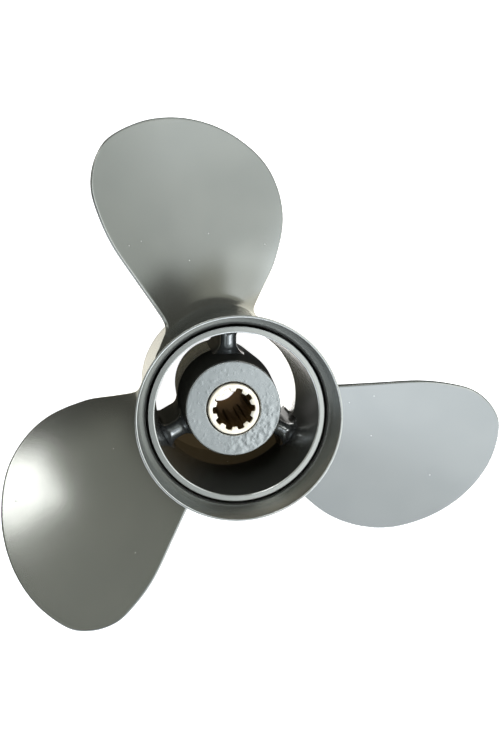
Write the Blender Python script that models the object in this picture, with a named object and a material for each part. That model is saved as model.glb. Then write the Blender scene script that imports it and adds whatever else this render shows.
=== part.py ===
"""A right-handed ship propeller with three blades, for a small outboard motor.

It is one aluminium casting, a barrel that carries the blades outside and a splined hub inside,
with the exhaust passing between barrel and hub. A brass sleeve sits in the hub in a rubber bush.
The propeller stands on its front end: z = 0 is the plane of that end, and +Z points aft along
the shaft. The features of the casting are objects of their own, which meet with a hairline gap.
Run it in Blender 4.5, in the background or from the text editor. All lengths are in metres.
"""

import math

import bmesh
import bpy

MM = 0.001
HAIRLINE = 0.3 * MM

# Size of the whole propeller: 9 7/8 inch diameter by 13 inch pitch
TIP_RADIUS = 125.4 * MM
PITCH = 330.0 * MM
BLADES = 3
FIRST_BLADE_DEG = 96.5

# Barrel: the outer tube of the casting, with a flare that opens aft
BARREL_FRONT_RADIUS = 38.2 * MM
BARREL_WAIST_RADIUS = 38.9 * MM
FLARE_START_Z = 80.0 * MM
FLARE_LIP_Z = 106.0 * MM
FLARE_LIP_RADIUS = 41.1 * MM
FLARE_LIP_WALL = 0.8 * MM
FLARE_SEAT_Z = 82.0 * MM
FLARE_INNER_RADIUS = 37.1 * MM
BARREL_REAR_Z = 95.5 * MM
BARREL_REAR_OUTER_RADIUS = 36.0 * MM
BARREL_REAR_INNER_RADIUS = 33.5 * MM
BARREL_THROAT_RADIUS = 32.0 * MM
BARREL_FRONT_INNER_RADIUS = 35.6 * MM
PARTING_Z = 47.0 * MM
RIM_CHAMFER = 0.6 * MM

# Inner hub: the tube that holds the bush, drafted both ways from the parting plane
HUB_FRONT_RADIUS = 21.5 * MM
HUB_PARTING_RADIUS = 22.3 * MM
HUB_REAR_RADIUS = 20.1 * MM
HUB_REAR_Z = 80.7 * MM
HUB_REAR_WALL = 6.0 * MM
HUB_REAR_HOLE_RADIUS = 11.5 * MM
HUB_BORE_RADIUS = 16.8 * MM
HUB_CORNER = 1.0 * MM

# Ribs that join the inner hub to the barrel: thickest at the parting plane, with a round nose aft
RIB_DEGREES = (90.0, 210.0, 330.0)
RIB_THICKNESS = 7.2 * MM
RIB_FRONT_THICKNESS = 4.8 * MM
RIB_FILLET = 4.0 * MM
RIB_FRONT_Z = 1.5 * MM
RIB_REAR_Z = 59.5 * MM
RIB_NOSE = 3.6 * MM

# Brass sleeve and rubber bush
SLEEVE_RADIUS = 10.95 * MM
SLEEVE_FRONT_Z = 4.5 * MM
SLEEVE_REAR_Z = 81.8 * MM
SPLINE_FRONT_Z = 37.5 * MM
SPLINE_TEETH = 10
SPLINE_MINOR_RADIUS = 7.4 * MM
SPLINE_MAJOR_RADIUS = 8.8 * MM
SPLINE_FIRST_DEG = 21.0
TOOTH_TOP_DEG = 14.0
TOOTH_FOOT_DEG = 20.0
SLEEVE_BORE_RADIUS = 9.1 * MM
SLEEVE_CHAMFER = 0.4 * MM
BUSH_FRONT_Z = 6.0 * MM

# Blade outline as seen along the shaft, from the root to the tip: radius in millimetres, then the
# angles of the leading and the trailing edge from the blade's centre line, in degrees
BLADE_STATIONS = (
    (39.2, -34.0, 46.0),
    (40.5, -32.5, 38.8),
    (42.2, -31.7, 33.6),
    (45.5, -31.3, 31.5),
    (52.0, -31.1, 30.9),
    (66.0, -30.6, 30.4),
    (84.0, -27.3, 29.8),
    (98.0, -22.0, 28.1),
    (109.0, -15.4, 25.9),
    (118.0, -6.8, 22.1),
    (123.5, 1.6, 17.4),
)
BLADE_TIP_DEG = 9.6
BLADE_CENTRE_Z = 42.5 * MM
BLADE_CENTRE_RADIUS = 80.0 * MM
BLADE_RAKE = 0.166
ROOT_THICKNESS = 10.0 * MM
TIP_THICKNESS = 3.2 * MM
THICKNESS_TAPER = 0.85
BODY_FULLNESS = 0.8
EDGE_THICKNESS = 1.5 * MM
ROOT_FILLET = 4.0 * MM
FILLET_AT_EDGES = 0.3
BLADE_LOWEST_Z = 1.2 * MM

# How finely the round shapes are divided
RING_STEPS = 60
CHORD_STEPS = 14
STATION_STEPS = 2
FILLET_STEPS = 4
ROOT_CAP_STEPS = 4


def clear_scene():
    for old in list(bpy.data.objects):
        bpy.data.objects.remove(old, do_unlink=True)


def make_material(name, colour, roughness, metallic):
    material = bpy.data.materials.new(name)
    material.use_nodes = True
    shader = material.node_tree.nodes["Principled BSDF"]
    shader.inputs["Base Color"].default_value = (*colour, 1.0)
    shader.inputs["Roughness"].default_value = roughness
    shader.inputs["Metallic"].default_value = metallic
    material.diffuse_color = (*colour, 1.0)
    return material


def finish_object(name, bm, material, sharp_deg=35.0):
    """Turn a bmesh into a named object with outward faces and smooth round surfaces."""
    bmesh.ops.recalc_face_normals(bm, faces=bm.faces)
    mesh = bpy.data.meshes.new(name)
    bm.to_mesh(mesh)
    bm.free()
    mesh.shade_smooth()
    mesh.set_sharp_from_angle(angle=math.radians(sharp_deg))
    mesh.materials.append(material)
    obj = bpy.data.objects.new(name, mesh)
    bpy.context.scene.collection.objects.link(obj)
    return obj


def polar(radius, angle, z):
    return (radius * math.cos(angle), radius * math.sin(angle), z)


def blend(a, b, share):
    return a + (b - a) * share


def arc(centre_r, centre_z, radius_r, radius_z, start_deg, end_deg, steps):
    """Points (r, z) on an elliptic arc, for the rounded corners of turned profiles."""
    points = []
    for i in range(steps + 1):
        angle = math.radians(blend(start_deg, end_deg, i / steps))
        points.append((centre_r + radius_r * math.cos(angle), centre_z + radius_z * math.sin(angle)))
    return points


def turned(name, profile, material, steps=RING_STEPS):
    """Spin a closed profile of (r, z) points once round the shaft axis."""
    bm = bmesh.new()
    points = [bm.verts.new((r, 0.0, z)) for r, z in profile]
    edges = [bm.edges.new((a, b)) for a, b in zip(points, points[1:] + points[:1])]
    bmesh.ops.spin(
        bm,
        geom=points + edges,
        cent=(0.0, 0.0, 0.0),
        axis=(0.0, 0.0, 1.0),
        angle=2 * math.pi,
        steps=steps,
        use_merge=True,
    )
    return finish_object(name, bm, material)


def barrel_outer_radius(z):
    """Outside of the barrel: a slight taper, then a flare that curves out to the lip."""
    if z <= FLARE_START_Z:
        return blend(BARREL_FRONT_RADIUS, BARREL_WAIST_RADIUS, z / FLARE_START_Z)
    share = (z - FLARE_START_Z) / (FLARE_LIP_Z - FLARE_START_Z)
    return BARREL_WAIST_RADIUS + (FLARE_LIP_RADIUS - BARREL_WAIST_RADIUS) * share**2


def barrel_inner_radius(z):
    """Inside of the barrel: drafted both ways from the throat at the parting plane."""
    if z <= PARTING_Z:
        return blend(BARREL_FRONT_INNER_RADIUS, BARREL_THROAT_RADIUS, z / PARTING_Z)
    share = (z - PARTING_Z) / (BARREL_REAR_Z - PARTING_Z)
    return blend(BARREL_THROAT_RADIUS, BARREL_REAR_INNER_RADIUS, share)


def hub_outer_radius(z):
    if z <= PARTING_Z:
        return blend(HUB_FRONT_RADIUS, HUB_PARTING_RADIUS, z / PARTING_Z)
    return blend(HUB_PARTING_RADIUS, HUB_REAR_RADIUS, (z - PARTING_Z) / (HUB_REAR_Z - PARTING_Z))


def make_barrel(material):
    seat = FLARE_SEAT_Z
    profile = [
        (BARREL_FRONT_INNER_RADIUS, 0.0),
        (BARREL_FRONT_RADIUS - RIM_CHAMFER, 0.0),
        (barrel_outer_radius(RIM_CHAMFER), RIM_CHAMFER),
        (barrel_outer_radius(FLARE_START_Z / 2), FLARE_START_Z / 2),
        (barrel_outer_radius(FLARE_START_Z), FLARE_START_Z),
        (barrel_outer_radius(seat), seat),
        (BARREL_REAR_OUTER_RADIUS, seat),
        (BARREL_REAR_OUTER_RADIUS, BARREL_REAR_Z - RIM_CHAMFER),
        (BARREL_REAR_OUTER_RADIUS - RIM_CHAMFER, BARREL_REAR_Z),
        (BARREL_REAR_INNER_RADIUS + RIM_CHAMFER, BARREL_REAR_Z),
        (barrel_inner_radius(BARREL_REAR_Z - RIM_CHAMFER), BARREL_REAR_Z - RIM_CHAMFER),
        (BARREL_THROAT_RADIUS, PARTING_Z),
    ]
    return turned("barrel", profile, material)


def make_flare_ring(material, steps=6):
    """The flare aft of its seat on the barrel, with a narrow groove between it and the barrel."""
    foot = FLARE_SEAT_Z + HAIRLINE
    profile = []
    for i in range(steps + 1):
        z = blend(foot, FLARE_LIP_Z, i / steps)
        profile.append((barrel_outer_radius(z), z))
    profile += [
        (FLARE_LIP_RADIUS - FLARE_LIP_WALL, FLARE_LIP_Z),
        (FLARE_INNER_RADIUS, BARREL_REAR_Z),
        (FLARE_INNER_RADIUS, foot),
    ]
    return turned("flare_ring", profile, material)


def make_inner_hub(material):
    corner = HUB_CORNER
    rear_outer = arc(HUB_REAR_RADIUS - corner, HUB_REAR_Z - corner, corner, corner, 0, 90, 3)
    rear_hole = arc(HUB_REAR_HOLE_RADIUS + corner, HUB_REAR_Z - corner, corner, corner, 90, 180, 3)
    shoulder_z = HUB_REAR_Z - HUB_REAR_WALL
    profile = [
        (HUB_BORE_RADIUS + RIM_CHAMFER, 0.0),
        (HUB_FRONT_RADIUS - RIM_CHAMFER, 0.0),
        (hub_outer_radius(RIM_CHAMFER), RIM_CHAMFER),
        (HUB_PARTING_RADIUS, PARTING_Z),
    ]
    profile += rear_outer + rear_hole
    profile += [
        (HUB_REAR_HOLE_RADIUS, shoulder_z),
        (HUB_BORE_RADIUS, shoulder_z),
        (HUB_BORE_RADIUS, RIM_CHAMFER),
    ]
    return turned("inner_hub", profile, material)


def rib_section(z, half_thickness, fillet):
    """One level of a rib: straight sides that widen in fillets where it meets hub and barrel."""
    inner = hub_outer_radius(z) + HAIRLINE
    outer = barrel_inner_radius(z) - HAIRLINE
    side = []
    for i in range(FILLET_STEPS):
        turn = math.radians(90.0 * i / FILLET_STEPS)
        side.append((inner + RIB_FILLET * (1 - math.cos(turn)), fillet * (1 - math.sin(turn))))
    side.append((inner + RIB_FILLET, 0.0))
    side.append((outer - RIB_FILLET, 0.0))
    for i in reversed(range(FILLET_STEPS)):
        turn = math.radians(90.0 * i / FILLET_STEPS)
        side.append((outer - RIB_FILLET * (1 - math.cos(turn)), fillet * (1 - math.sin(turn))))
    left = [(r, math.asin((half_thickness + extra) / r)) for r, extra in side]
    outer_end = [(outer, left[-1][1] * (1 - 2 * i / ROOT_CAP_STEPS)) for i in range(1, ROOT_CAP_STEPS)]
    right = [(r, -angle) for r, angle in reversed(left)]
    inner_end = [(inner, -left[0][1] * (1 - 2 * i / ROOT_CAP_STEPS)) for i in range(1, ROOT_CAP_STEPS)]
    return left + outer_end + right + inner_end


def make_rib(name, degrees, material):
    levels = [
        (RIB_FRONT_Z, RIB_FRONT_THICKNESS / 2, RIB_FILLET),
        (PARTING_Z, RIB_THICKNESS / 2, RIB_FILLET),
    ]
    for turn_deg in (0, 35, 60, 80):
        turn = math.radians(turn_deg)
        z = RIB_REAR_Z - RIB_NOSE + RIB_NOSE * math.sin(turn)
        levels.append((z, RIB_THICKNESS / 2 * math.cos(turn), RIB_FILLET * math.cos(turn)))
    centre = math.radians(degrees)
    bm = bmesh.new()
    rings = []
    for z, half, fillet in levels:
        rings.append([bm.verts.new(polar(r, centre + a, z)) for r, a in rib_section(z, half, fillet)])
    for low, high in zip(rings, rings[1:]):
        skin_between(bm, low, high)
    bm.faces.new(rings[0])
    bm.faces.new(rings[-1])
    bmesh.ops.triangulate(bm, faces=[face for face in bm.faces if len(face.verts) > 4])
    return finish_object(name, bm, material)


def skin_between(bm, ring, next_ring):
    """Quads between two closed rings with the same number of points."""
    count = len(ring)
    for i in range(count):
        j = (i + 1) % count
        bm.faces.new((ring[i], ring[j], next_ring[j], next_ring[i]))


def outline_curve():
    """The blade's outline in the plane across the shaft, from leading root to trailing root."""
    points = []
    for radius, leading, _ in BLADE_STATIONS:
        points.append((radius * MM, math.radians(leading)))
    points.append((TIP_RADIUS, math.radians(BLADE_TIP_DEG)))
    for radius, _, trailing in reversed(BLADE_STATIONS):
        points.append((radius * MM, math.radians(trailing)))
    return [(radius * math.sin(angle), radius * math.cos(angle)) for radius, angle in points]


def smooth_point(points, position):
    """A point on the Catmull-Rom curve through the points, as (radius, angle)."""
    last = len(points) - 1
    start = min(int(position), last - 1)
    t = position - start
    before = points[max(start - 1, 0)]
    a = points[start]
    b = points[start + 1]
    after = points[min(start + 2, last)]
    place = []
    for k in range(2):
        place.append(
            0.5
            * (
                2 * a[k]
                + (b[k] - before[k]) * t
                + (2 * before[k] - 5 * a[k] + 4 * b[k] - after[k]) * t**2
                + (3 * a[k] - before[k] - 3 * b[k] + after[k]) * t**3
            )
        )
    return math.hypot(*place), math.atan2(place[0], place[1])


def keep_above(z, floor, softness=1.5 * MM):
    """Bend a height smoothly so that it never falls below the floor."""
    return floor + softness * math.log1p(math.exp((z - floor) / softness))


def blade_point(radius, angle, share, side):
    """One point of a blade's skin. side is +1 on the aft face and -1 on the front face."""
    helix = math.atan2(PITCH, 2 * math.pi * radius)
    z = BLADE_CENTRE_Z + PITCH / (2 * math.pi) * angle + BLADE_RAKE * (radius - BLADE_CENTRE_RADIUS)
    body = (4 * share * (1 - share)) ** BODY_FULLNESS
    root_radius = BLADE_STATIONS[0][0] * MM
    along = max(0.0, (radius - root_radius) / (TIP_RADIUS - root_radius))
    middle = blend(ROOT_THICKNESS, TIP_THICKNESS, along**THICKNESS_TAPER)
    thickness = blend(EDGE_THICKNESS, middle, body)
    height = min(1.0, max(0.0, 1 - (radius - root_radius) / ROOT_FILLET))
    fillet = ROOT_FILLET * (1 - math.sqrt(1 - height**2)) * blend(FILLET_AT_EDGES, 1.0, body)
    offset = fillet if side > 0 else -thickness - fillet
    angle -= offset * math.sin(helix) / radius
    z = keep_above(z + offset * math.cos(helix), BLADE_LOWEST_Z)
    return radius, angle, z


def blade_section(curve, position, root):
    """Closed ring of points round the blade at one station. The root ring lies on the barrel."""
    last = len(curve) - 1
    lead_r, lead_a = smooth_point(curve, position)
    trail_r, trail_a = smooth_point(curve, last - position)
    ring = []
    for side in (1, -1):
        for i in range(CHORD_STEPS + 1):
            share = 0.5 - 0.5 * math.cos(math.pi * i / CHORD_STEPS)
            if side < 0:
                share = 1 - share
            radius = blend(lead_r, trail_r, share)
            angle = blend(lead_a, trail_a, share)
            radius, angle, z = blade_point(radius, angle, share, side)
            if root:
                radius = barrel_outer_radius(z) + HAIRLINE
            ring.append((radius, angle, z))
    return ring


def make_blade(name, centre_deg, material):
    """Loft the sections from root to tip, then close the root with a cap that follows the barrel."""
    curve = outline_curve()
    tip_position = len(BLADE_STATIONS)
    centre = math.radians(centre_deg)
    bm = bmesh.new()

    def place(ring):
        return [bm.verts.new(polar(r, centre + a, z)) for r, a, z in ring]

    root_ring = blade_section(curve, 0.0, True)
    rings = [place(root_ring)]
    steps = tip_position * STATION_STEPS
    for i in range(1, steps):
        rings.append(place(blade_section(curve, i / STATION_STEPS, False)))
    for low, high in zip(rings, rings[1:]):
        skin_between(bm, low, high)
    tip_radius, tip_angle = smooth_point(curve, tip_position)
    aft_tip = bm.verts.new(polar(*blade_tip_point(tip_radius, tip_angle, centre, 1)))
    front_tip = bm.verts.new(polar(*blade_tip_point(tip_radius, tip_angle, centre, -1)))
    close_tip(bm, rings[-1], aft_tip, front_tip)
    close_root(bm, rings[0], root_ring, centre)
    return finish_object(name, bm, material, 50.0)


def blade_tip_point(radius, angle, centre, side):
    radius, angle, z = blade_point(radius, angle, 0.0, side)
    return radius, centre + angle, z


def close_tip(bm, ring, aft_tip, front_tip):
    """Fan the last section to the two tip points, and join the narrow edges on both sides."""
    count = CHORD_STEPS + 1
    aft = ring[:count]
    front = ring[count:]
    for a, b in zip(aft, aft[1:]):
        bm.faces.new((a, b, aft_tip))
    for a, b in zip(front, front[1:]):
        bm.faces.new((a, b, front_tip))
    bm.faces.new((aft[-1], front[0], front_tip, aft_tip))
    bm.faces.new((front[-1], aft[0], aft_tip, front_tip))


def close_root(bm, ring, root_ring, centre):
    """Cap the root with rows of points on the barrel's surface, between aft and front side."""
    count = CHORD_STEPS + 1
    rows = [ring[:count]]
    for row in range(1, ROOT_CAP_STEPS):
        share = row / ROOT_CAP_STEPS
        points = []
        for i in range(count):
            _, aft_angle, aft_z = root_ring[i]
            _, front_angle, front_z = root_ring[-1 - i]
            z = blend(aft_z, front_z, share)
            angle = centre + blend(aft_angle, front_angle, share)
            points.append(bm.verts.new(polar(barrel_outer_radius(z) + HAIRLINE, angle, z)))
        rows.append(points)
    rows.append(list(reversed(ring[count:])))
    for row, next_row in zip(rows, rows[1:]):
        for i in range(CHORD_STEPS):
            bm.faces.new((row[i], row[i + 1], next_row[i + 1], next_row[i]))
    lead_edge = [row[0] for row in rows]
    trail_edge = [row[-1] for row in rows]
    for edge in (lead_edge, trail_edge):
        old = bm.edges.get((edge[0], edge[-1]))
        face = next(f for f in old.link_faces if len(f.verts) == 4)
        others = [v for v in face.verts if v not in (edge[0], edge[-1])]
        bm.edges.remove(old)
        near_last = next(v for v in others if any(edge[-1] in e.verts for e in v.link_edges))
        near_first = next(v for v in others if v is not near_last)
        bm.faces.new(edge + [near_last, near_first])


def make_rubber_bush(material):
    front = BUSH_FRONT_Z
    rear = HUB_REAR_Z - HUB_REAR_WALL - HAIRLINE
    inner = SLEEVE_RADIUS + HAIRLINE
    outer = HUB_BORE_RADIUS - HAIRLINE
    profile = [
        (inner, front + SLEEVE_CHAMFER),
        (inner + SLEEVE_CHAMFER, front),
        (outer - RIM_CHAMFER, front),
        (outer, front + RIM_CHAMFER),
        (outer, rear),
        (inner, rear),
    ]
    return turned("rubber_bush", profile, material)


def spline_bore():
    """Points (radius, angle) of the splined bore: flat tooth tops, grooves between them."""
    points = []
    pitch_deg = 360.0 / SPLINE_TEETH
    for tooth in range(SPLINE_TEETH):
        centre = SPLINE_FIRST_DEG + tooth * pitch_deg
        for offset, radius in (
            (-TOOTH_TOP_DEG / 2, SPLINE_MINOR_RADIUS),
            (TOOTH_TOP_DEG / 2, SPLINE_MINOR_RADIUS),
            (TOOTH_FOOT_DEG / 2, SPLINE_MAJOR_RADIUS),
            (pitch_deg / 2, SPLINE_MAJOR_RADIUS),
            (pitch_deg - TOOTH_FOOT_DEG / 2, SPLINE_MAJOR_RADIUS),
        ):
            points.append((radius, math.radians(centre + offset)))
    return points


def make_splined_sleeve(material):
    """Rings of points from the front bore mouth, over the outside, and back down the spline."""
    bore = spline_bore()
    chamfer = SLEEVE_CHAMFER
    bm = bmesh.new()

    def plain_ring(radius, z):
        return [bm.verts.new(polar(radius, angle, z)) for _, angle in bore]

    def spline_ring(z):
        return [bm.verts.new(polar(radius, angle, z)) for radius, angle in bore]

    rings = [
        spline_ring(SPLINE_FRONT_Z),
        plain_ring(SLEEVE_BORE_RADIUS, SPLINE_FRONT_Z),
        plain_ring(SLEEVE_BORE_RADIUS, SLEEVE_FRONT_Z),
        plain_ring(SLEEVE_RADIUS - chamfer, SLEEVE_FRONT_Z),
        plain_ring(SLEEVE_RADIUS, SLEEVE_FRONT_Z + chamfer),
        plain_ring(SLEEVE_RADIUS, SLEEVE_REAR_Z - chamfer),
        plain_ring(SLEEVE_RADIUS - chamfer, SLEEVE_REAR_Z),
        spline_ring(SLEEVE_REAR_Z),
    ]
    for ring, next_ring in zip(rings, rings[1:] + rings[:1]):
        skin_between(bm, ring, next_ring)
    return finish_object("splined_sleeve", bm, material)


def main():
    clear_scene()
    paint = make_material("grey_paint", (0.33, 0.35, 0.34), 0.4, 0.6)
    brass = make_material("brass", (0.72, 0.6, 0.38), 0.35, 1.0)
    rubber = make_material("black_rubber", (0.02, 0.02, 0.02), 0.8, 0.0)
    make_barrel(paint)
    make_flare_ring(paint)
    make_inner_hub(paint)
    for number, degrees in enumerate(RIB_DEGREES, start=1):
        make_rib(f"rib_{number}", degrees, paint)
    for number in range(BLADES):
        centre = FIRST_BLADE_DEG - number * 360.0 / BLADES
        make_blade(f"blade_{number + 1}", centre, paint)
    make_rubber_bush(rubber)
    make_splined_sleeve(brass)


main()
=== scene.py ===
# %% [markdown]
# A ship propeller for a small outboard motor, dressed for a picture.
#
# The real object is one aluminium casting, sprayed grey: a barrel with three blades outside and a
# hub on three ribs inside. A brass sleeve with ten splines sits in the hub, held by a rubber bush.
# It stands on its front end. z = 0 is that end, and +Z runs aft along the shaft.
#
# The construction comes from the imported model, which is loaded first and never moved. Each cell
# then makes one piece with finer curves and a real finish, in the same place and at the same size.

# %% Load the fixed frame
import math

import bpy
import numpy as np
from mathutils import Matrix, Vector, noise


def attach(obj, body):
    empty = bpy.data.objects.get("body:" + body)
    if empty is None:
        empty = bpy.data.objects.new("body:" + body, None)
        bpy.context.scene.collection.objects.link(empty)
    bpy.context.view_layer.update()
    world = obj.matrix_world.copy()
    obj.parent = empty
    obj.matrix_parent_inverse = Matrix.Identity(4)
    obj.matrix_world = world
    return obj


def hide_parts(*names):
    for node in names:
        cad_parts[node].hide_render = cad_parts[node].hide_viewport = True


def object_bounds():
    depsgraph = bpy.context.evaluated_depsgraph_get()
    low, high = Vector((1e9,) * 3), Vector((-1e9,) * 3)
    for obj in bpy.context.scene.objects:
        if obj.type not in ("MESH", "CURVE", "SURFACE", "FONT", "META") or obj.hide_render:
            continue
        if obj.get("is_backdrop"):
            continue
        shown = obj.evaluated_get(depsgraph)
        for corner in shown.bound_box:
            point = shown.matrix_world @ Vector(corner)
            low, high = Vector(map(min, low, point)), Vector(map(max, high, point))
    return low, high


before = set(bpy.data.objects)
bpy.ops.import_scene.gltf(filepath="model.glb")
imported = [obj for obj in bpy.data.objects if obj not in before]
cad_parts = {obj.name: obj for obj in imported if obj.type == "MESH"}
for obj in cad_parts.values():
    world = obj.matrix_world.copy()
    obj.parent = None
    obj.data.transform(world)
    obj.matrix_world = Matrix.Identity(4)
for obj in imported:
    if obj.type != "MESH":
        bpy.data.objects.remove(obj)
cad_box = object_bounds()
print("frame nodes:", ", ".join(sorted(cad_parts)))
print("frame size in mm:", [round(1000 * (high - low), 1) for low, high in zip(*cad_box)])

# %% [markdown]
# The camera looks down the shaft from behind the propeller, about half a metre away, as for a
# shop picture. A pose with a target would leave the roll open, so the camera starts by looking
# straight down and is then tipped by one small turn about a level axis.

# %% Camera
MM = 0.001
CAMERA_PLACE = (-40.1 * MM, 68.7 * MM, 470.2 * MM)
CAMERA_TILT = math.radians(-10.45)
CAMERA_TILT_AXIS = (0.7576, 0.6527, 0.0)
CAMERA_LENS = 45.3

camera = bpy.data.objects.new("camera", bpy.data.cameras.new("camera"))
camera.data.lens = CAMERA_LENS
camera.data.sensor_width = 36.0
camera.data.clip_start = 0.01
camera.location = CAMERA_PLACE
camera.rotation_mode = "AXIS_ANGLE"
camera.rotation_axis_angle = (CAMERA_TILT, *CAMERA_TILT_AXIS)
bpy.context.scene.collection.objects.link(camera)
bpy.context.scene.camera = camera
bpy.context.scene.view_settings.view_transform = "Standard"
print("camera lens:", camera.data.lens, "mm")

# %% [markdown]
# Semi-gloss grey paint looks like what it mirrors, so the light is made first, and as carefully as
# the paint. The studio is a ring of soft panels. Each blade faces a different side of it: the right
# blade mirrors a large bright panel, the top blade a dimmer one that ends above the horizon, and
# the lower left blade a dark corner with one small bright box in it.
#
# Lamps in the scene would do, but panels painted on the world are softer at their edges and easy
# to place by compass: azimuth 0 is +X, 90 is +Y, and elevation is above the floor, in degrees. The
# camera itself sees plain white instead, as the picture has a white ground.

# %% Small helpers for node trees
def add_node(tree, kind, **settings):
    node = tree.nodes.new(kind)
    for key, value in settings.items():
        setattr(node, key, value)
    return node


def feed(tree, node, **inputs):
    """Set or link a node's inputs by name. An underscore stands for a space."""
    for key, value in inputs.items():
        socket = node.inputs[key.replace("_", " ")]
        if isinstance(value, bpy.types.NodeSocket):
            tree.links.new(value, socket)
        else:
            socket.default_value = value
    return node


def calculate(tree, operation, *values):
    node = add_node(tree, "ShaderNodeMath", operation=operation)
    for socket, value in zip(node.inputs, values):
        if isinstance(value, bpy.types.NodeSocket):
            tree.links.new(value, socket)
        else:
            socket.default_value = value
    return node.outputs[0]


def ramp_between(tree, value, low, high, out_low=0.0, out_high=1.0):
    """A soft step: out_low up to low, out_high from high on, with a smooth rise between."""
    node = add_node(tree, "ShaderNodeMapRange", interpolation_type="SMOOTHSTEP")
    feed(tree, node, Value=value, From_Min=low, From_Max=high, To_Min=out_low, To_Max=out_high)
    return node.outputs[0]


# %% The studio: soft panels on the world
ROOM_COLOUR = (0.075, 0.072, 0.056)
PANELS = (
    # azimuth from and to, elevation from and to, softness, colour, strength
    ((-160, -32), (-25, 52), 14, (0.92, 0.985, 1.08), 1.42),
    ((-100, -42), (-25, 52), 26, (0.92, 0.985, 1.08), 0.55),
    ((-40, 8), (2.5, 60), 15, (0.93, 0.98, 0.98), 1.2),
    ((-22, 6), (32, 60), 8, (0.93, 0.98, 1.04), 0.32),
    ((8, 60), (9, 60), 10, (0.93, 0.99, 0.97), 0.88),
    ((-45, -12), (-25, 6), 10, (0.93, 0.98, 1.02), 0.9),
    ((-60, 4), (-45, 4), 16, (1.0, 1.0, 0.86), 0.42),
    ((-98, -66), (50, 76), 6, (0.92, 1.0, 1.06), 0.45),
    ((-180, 180), (70, 90), 12, (0.92, 1.0, 1.06), 0.66),
    ((99, 118.5), (39.5, 57), 4, (1.0, 1.0, 1.0), 5.6),
    ((98, 175), (5, 62), 20, (0.97, 1.0, 0.88), 0.35),
)
# The box overhead has a straight left side, so it is placed by x and elevation
OVERHEAD_X = (0.05, 0.2)
OVERHEAD_ELEVATION = (46, 57)
OVERHEAD_AZIMUTH = (-85, 40)
OVERHEAD_GLOW = 2.3

world = bpy.data.worlds.new("studio")
world.use_nodes = True
bpy.context.scene.world = world
tree = world.node_tree
background = tree.nodes["Background"]
direction = add_node(tree, "ShaderNodeTexCoord").outputs["Generated"]
compass = feed(tree, add_node(tree, "ShaderNodeSeparateXYZ"), Vector=direction)
azimuth = calculate(tree, "ARCTAN2", compass.outputs["Y"], compass.outputs["X"])
azimuth = calculate(tree, "DEGREES", azimuth)
elevation = calculate(tree, "DEGREES", calculate(tree, "ARCSINE", compass.outputs["Z"]))


def away_from(tree, angle, span, soft):
    """1 inside the span of an angle and 0 outside it, with a soft edge. Angles wrap round."""
    centre = sum(span) / 2
    half = (span[1] - span[0]) / 2
    offset = calculate(tree, "WRAP", calculate(tree, "SUBTRACT", angle, centre), 180.0, -180.0)
    return ramp_between(tree, calculate(tree, "ABSOLUTE", offset), half - soft / 2, half + soft / 2, 1.0, 0.0)


def add_panel(tree, light, inside, colour, strength):
    panel = add_node(tree, "ShaderNodeMix", data_type="RGBA", blend_type="ADD", clamp_factor=False)
    tree.links.new(calculate(tree, "MULTIPLY", inside, strength), panel.inputs["Factor"])
    tree.links.new(light, panel.inputs[6])
    panel.inputs[7].default_value = (*colour, 1.0)
    return panel.outputs[2]


room = add_node(tree, "ShaderNodeRGB")
room.outputs[0].default_value = (*ROOM_COLOUR, 1.0)
light = room.outputs[0]
for azimuths, elevations, soft, colour, strength in PANELS:
    across = away_from(tree, azimuth, azimuths, soft)
    inside = calculate(tree, "MULTIPLY", across, away_from(tree, elevation, elevations, soft))
    light = add_panel(tree, light, inside, colour, strength)
inside = calculate(
    tree,
    "MULTIPLY",
    ramp_between(tree, compass.outputs["X"], *OVERHEAD_X),
    ramp_between(tree, elevation, *OVERHEAD_ELEVATION),
)
inside = calculate(tree, "MULTIPLY", inside, away_from(tree, azimuth, OVERHEAD_AZIMUTH, 20))
light = add_panel(tree, light, inside, (0.97, 1.0, 1.02), OVERHEAD_GLOW)
seen = add_node(tree, "ShaderNodeLightPath").outputs["Is Camera Ray"]
sky = add_node(tree, "ShaderNodeMix", data_type="RGBA")
tree.links.new(seen, sky.inputs["Factor"])
tree.links.new(light, sky.inputs[6])
sky.inputs[7].default_value = (1.0, 1.0, 1.0, 1.0)
tree.links.new(sky.outputs[2], background.inputs["Color"])
print("studio panels:", len(PANELS))

# %% [markdown]
# The floor is a plain white sheet that only the camera sees, because glossy paint would mirror it
# from everywhere. What it does to the object is made by flat glowing rings instead, one for each
# place that shows its light: outside round the barrel, under the two upper exhaust passages, and
# faintly under the bore. The ground under the lower passage lies in the propeller's own shade, so
# a dark brown sheet there paints that shadow.

# %% Floor
FLOOR_HALF = 2.0


def flat_ring(name, inside, outside, from_deg, to_deg, steps=48):
    """A flat ring sector round the shaft, as a mesh at z = 0; put_on_floor makes it a stage sheet just under
    the propeller.
    """
    points = []
    for i in range(steps + 1):
        turn = math.radians(from_deg + (to_deg - from_deg) * i / steps)
        for radius in (inside, outside):
            points.append((radius * MM * math.cos(turn), radius * MM * math.sin(turn), 0.0))
    mesh = bpy.data.meshes.new(name)
    mesh.from_pydata(points, [], [(2 * i, 2 * i + 1, 2 * i + 3, 2 * i + 2) for i in range(steps)])
    return mesh


def put_on_floor(name, mesh, drop, colour, glow):
    sheet = bpy.data.objects.new(name, mesh)
    bpy.context.scene.collection.objects.link(sheet)
    sheet.location.z = -drop * MM
    material = bpy.data.materials.new(name)
    material.use_nodes = True
    shader = material.node_tree.nodes["Principled BSDF"]
    shader.inputs["Base Color"].default_value = (*colour, 1.0)
    shader.inputs["Roughness"].default_value = 0.9
    shader.inputs["Emission Color"].default_value = (*colour, 1.0)
    shader.inputs["Emission Strength"].default_value = glow
    mesh.materials.append(material)
    sheet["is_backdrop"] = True
    return sheet


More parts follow.
